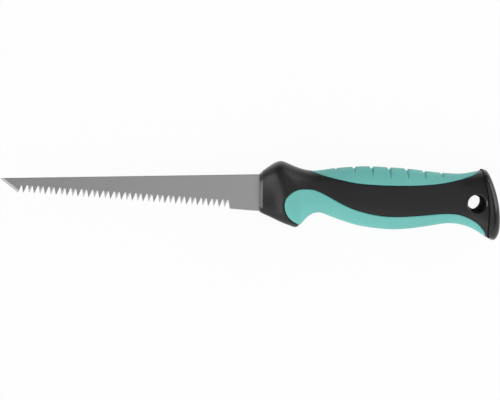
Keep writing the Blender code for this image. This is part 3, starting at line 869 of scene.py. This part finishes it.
def hard_plastic():
    """Polypropylene moulded in a polished tool: a dark, even body, a clear gloss and faint ripples."""
    material, shader = new_material("moulded black polypropylene")
    tree = material.node_tree
    shader.inputs["Base Color"].default_value = linear("#141416")
    shader.inputs["IOR"].default_value = 1.49
    place = node(tree, "ShaderNodeTexCoord")
    smear = node(tree, "ShaderNodeTexNoise", values={"Scale": per_mm(6.0), "Detail": 3.0},
                 links={"Vector": (place, "Object")})
    gloss = node(tree, "ShaderNodeMapRange", values={"To Min": 0.14, "To Max": 0.22},
                 links={"Value": (smear, "Fac")})
    tree.links.new(gloss.outputs["Result"], shader.inputs["Roughness"])
    bump = node(tree, "ShaderNodeBump", values={"Strength": 0.15, "Distance": 0.02 * MM},
                links={"Height": (smear, "Fac")})
    tree.links.new(bump.outputs["Normal"], shader.inputs["Normal"])
    return material


def ground_steel(name, dark, light, roughness, line_mm, spread=0.0):
    """Hardened spring steel, ground along its length: a grey satin sheen, spread across the fine
    straight scratches that break it, which are drawn wider than the real ones so that they show."""
    material, shader = new_material(name)
    tree = material.node_tree
    shader.inputs["Metallic"].default_value = 1.0
    shader.inputs["Anisotropic"].default_value = spread
    across = node(tree, "ShaderNodeVectorTransform",
                  settings={"vector_type": "VECTOR", "convert_from": "OBJECT", "convert_to": "WORLD"},
                  values={"Vector": (0, 1, 0)})
    tree.links.new(across.outputs["Vector"], shader.inputs["Tangent"])
    place = node(tree, "ShaderNodeTexCoord")
    stretch = node(tree, "ShaderNodeMapping", values={"Scale": (0.03, 1.0, 1.0)},
                   links={"Vector": (place, "Object")})
    lines = node(tree, "ShaderNodeTexNoise",
                 values={"Scale": per_mm(line_mm), "Detail": 3.0, "Roughness": 0.6},
                 links={"Vector": (stretch, "Vector")})
    cloud = node(tree, "ShaderNodeTexNoise", values={"Scale": per_mm(25.0), "Detail": 3.0},
                 links={"Vector": (place, "Object")})
    both = node(tree, "ShaderNodeMath", settings={"operation": "MULTIPLY_ADD"}, values={1: 0.5},
                links={0: (lines, "Fac")})
    half = node(tree, "ShaderNodeMath", settings={"operation": "MULTIPLY"}, values={1: 0.5},
                links={0: (cloud, "Fac")})
    tree.links.new(half.outputs[0], both.inputs[2])
    tint = node(tree, "ShaderNodeMixRGB", values={"Color1": linear(dark), "Color2": linear(light)},
                links={"Fac": (both, 0)})
    tree.links.new(tint.outputs["Color"], shader.inputs["Base Color"])
    gloss = node(tree, "ShaderNodeMapRange",
                 values={"To Min": roughness - 0.06, "To Max": roughness + 0.06},
                 links={"Value": (lines, "Fac")})
    tree.links.new(gloss.outputs["Result"], shader.inputs["Roughness"])
    bump = node(tree, "ShaderNodeBump", values={"Strength": 0.15, "Distance": 0.01 * MM},
                links={"Height": (lines, "Fac")})
    tree.links.new(bump.outputs["Normal"], shader.inputs["Normal"])
    return material


blade_steel = ground_steel("satin ground spring steel", "#a7a7a8", "#b5b5b7", 0.38, 0.5, 0.75)
edge_steel = ground_steel("bright ground steel edge", "#b4b4b5", "#c2c2c3", 0.3, 0.3)
pin_steel = ground_steel("drawn steel pin", "#bdbdbd", "#cfcfcf", 0.3, 0.3)
black_rubber = soft_rubber("black soft thermoplastic rubber", "#141316", "#19181b", 0.42, 0.42)
green_rubber = soft_rubber("sea-green soft thermoplastic rubber", "#6cbfb7", "#74c8c0", 0.55)
# Dull black for the hang hole's wall and the faces that look into the butt's groove: a rough moulded
# face, and painted shade too, a little darker and far less reflective than the skin so that these
# recesses stay dark.
painted_shade_black = soft_rubber(
    "dull_shade_painted black moulding in holes and grooves", "#121213", "#161617", 0.9, 0.1)
black_plastic = hard_plastic()

blade = make_blade()
core = make_core()
skin = make_skin()
upper_grip = make_upper_grip()
lower_grip = make_lower_grip()

finish_piece(blade, "blade", "blade_steel", 15.0, blade_steel, edge_steel)
finish_piece(core, "handle_core", "core_plastic", 40.0, black_plastic, painted_shade_black)
finish_piece(skin, "handle_sleeve", "sleeve_rubber", 50.0, black_rubber, painted_shade_black, black_plastic)
finish_piece(upper_grip, "upper_grip", "grip_rubber", 35.0, green_rubber)
finish_piece(lower_grip, "lower_grip", "grip_rubber", 50.0, green_rubber)
paint_blade(blade)
paint_core(core)
paint_skin(skin)
for pin in ("front_tang_pin", "rear_tang_pin"):
    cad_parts[pin].data.materials.clear()
    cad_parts[pin].data.materials.append(pin_steel)

# Stage: a white floor, soft boxes, and a pale studio with a dim ceiling that leans to the far side
DIM_TOWARDS = (0.0, 0.5, 0.866)
DIM_LEVEL = 0.24
FLOOR_GLOW = 0.94
FLOOR_SIZE = 6.0
FLOOR_DROP = 0.0002
LAMP_DISTANCE = 1.2
# Soft boxes: direction on the floor in degrees from +X, height in degrees, side in metres, watts
SOFT_BOXES = (
    ("left", 190.0, 22.0, 0.6, 4.6),
    ("right", 17.0, 22.0, 0.75, 4.9),
    ("right back", 50.0, 25.0, 0.5, 1.9),
    ("high right", 60.0, 73.0, 0.8, 1.1),
    ("front right", 292.0, 62.0, 0.9, 1.55),
    ("front left", 239.0, 46.0, 0.5, 1.8),
)


def seen_directly(tree):
    """1 for the eye, for mirrors and through glass, and 0 for the light that falls on things."""
    path = node(tree, "ShaderNodeLightPath")
    shine = node(tree, "ShaderNodeMath", settings={"operation": "MAXIMUM"},
                 links={0: (path, "Is Glossy Ray"), 1: (path, "Is Transmission Ray")})
    return node(tree, "ShaderNodeMath", settings={"operation": "MAXIMUM"},
                links={0: (path, "Is Camera Ray"), 1: (shine, 0)})


def lay_floor():
    """A white floor that keeps the saw's faint shadow."""
    bpy.ops.object.select_all(action="DESELECT")
    bpy.ops.mesh.primitive_plane_add(size=FLOOR_SIZE, location=(0, 0, -FLOOR_DROP))
    floor = bpy.context.active_object
    floor.name = "floor"
    paint = bpy.data.materials.new("white floor paint")
    paint.use_nodes = True
    tree = paint.node_tree
    matt = tree.nodes["Principled BSDF"]
    matt.inputs["Base Color"].default_value = linear("#f4f4f4")
    matt.inputs["Roughness"].default_value = 1.0
    white = node(tree, "ShaderNodeEmission", values={"Color": (1, 1, 1, 1), "Strength": 1.0})
    share = node(tree, "ShaderNodeMath", settings={"operation": "MULTIPLY"}, values={1: FLOOR_GLOW},
                 links={0: (seen_directly(tree), 0)})
    mixed = node(tree, "ShaderNodeMixShader",
                 links={0: (share, 0), 1: (matt, "BSDF"), 2: (white, "Emission")})
    tree.links.new(mixed.outputs[0], tree.nodes["Material Output"].inputs["Surface"])
    floor.data.materials.append(paint)


def light_studio():
    """A pale surround, dim overhead, and the soft boxes aimed at the saw."""
    world = bpy.data.worlds.new("studio")
    world.use_nodes = True
    tree = world.node_tree
    place = node(tree, "ShaderNodeTexCoord")
    towards = node(tree, "ShaderNodeVectorMath", settings={"operation": "DOT_PRODUCT"},
                   values={1: DIM_TOWARDS}, links={0: (place, "Generated")})
    level = node(tree, "ShaderNodeMapRange", settings={"interpolation_type": "SMOOTHSTEP"},
                 values={"From Min": 0.0, "From Max": 0.5, "To Min": 1.0, "To Max": DIM_LEVEL},
                 links={"Value": (towards, "Value")})
    back = tree.nodes["Background"]
    back.inputs["Color"].default_value = (1, 1, 1, 1)
    tree.links.new(level.outputs["Result"], back.inputs["Strength"])
    bpy.context.scene.world = world
    for name, azimuth, elevation, side, watts in SOFT_BOXES:
        a, e = math.radians(azimuth), math.radians(elevation)
        away = Vector((math.cos(a) * math.cos(e), math.sin(a) * math.cos(e), math.sin(e)))
        light = bpy.data.lights.new(name, "AREA")
        light.size = side
        light.energy = watts
        lamp = bpy.data.objects.new(name, light)
        lamp.location = away * LAMP_DISTANCE
        lamp.rotation_euler = away.to_track_quat("Z", "Y").to_euler()
        bpy.context.scene.collection.objects.link(lamp)


scene = bpy.context.scene
scene.view_settings.view_transform = "Standard"
lay_floor()
light_studio()

# Camera: nearly square on to the side, a little from the spine's side
LOOK_AT = Vector(placed((-6.55, 0.0, 0.0)))
CAMERA_DISTANCE = 0.89
CAMERA_TILT = math.radians(4.8)
SENSOR_WIDTH = 36.0
PHOTO_WIDTH = 500
MM_PER_PIXEL = 0.58
camera_data = bpy.data.cameras.new("camera")
camera_data.sensor_width = SENSOR_WIDTH
camera_data.lens = SENSOR_WIDTH * CAMERA_DISTANCE / (PHOTO_WIDTH * MM_PER_PIXEL * MM)
camera = bpy.data.objects.new("camera", camera_data)
camera.location = LOOK_AT + CAMERA_DISTANCE * Vector((0, math.sin(CAMERA_TILT), math.cos(CAMERA_TILT)))
camera.rotation_euler = (-CAMERA_TILT, 0, 0)
scene.collection.objects.link(camera)
scene.camera = camera

bpy.context.view_layer.update()
